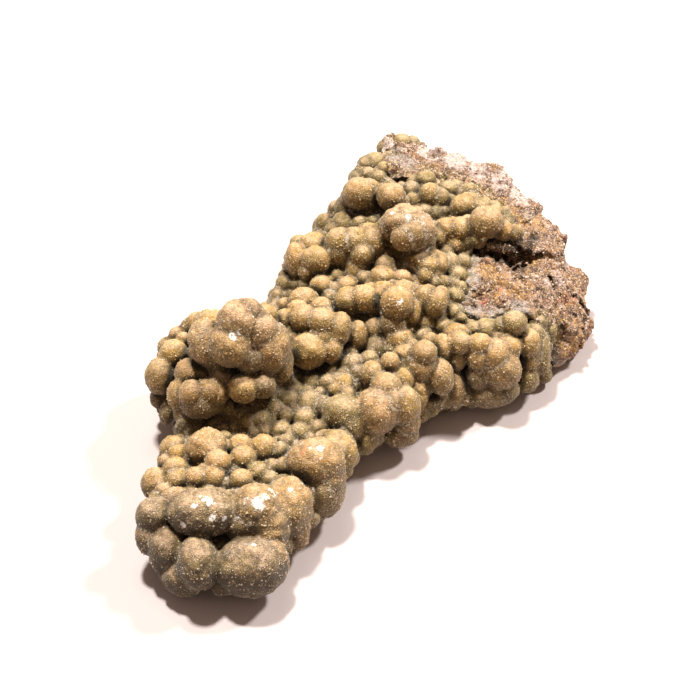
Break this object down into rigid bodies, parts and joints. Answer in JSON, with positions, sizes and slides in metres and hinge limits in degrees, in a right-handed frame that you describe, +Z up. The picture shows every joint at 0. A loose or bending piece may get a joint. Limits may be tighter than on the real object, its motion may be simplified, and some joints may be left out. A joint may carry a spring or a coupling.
{
  "type": "mottramite specimen on matrix",
  "caption": "Hand specimen of mottramite: a thick olive to tan crust of rounded, grape-like lobes over a broken slab of rock that is bare at one end.",
  "frame": {"origin": "under the middle of the specimen's bounding box, on the surface that it rests on", "axes": "+X along the specimen's length, from the big low lobes to the bare rock; +Y towards the side with the tall knob; +Z up"},
  "size_m": [0.1008, 0.0578, 0.0247],
  "materials": {
    "matrix": "rough broken rock, grey to pinkish brown with ochre, rust and pale quartz patches",
    "crust": "fine velvety drusy surface, golden tan on the high lobes, olive green in the hollows, sugary white specks"
  },
  "bodies": {
    "root": {"matrix_rock": "matrix", "mottramite_crust": "crust"}
  },
  "joints": []
}
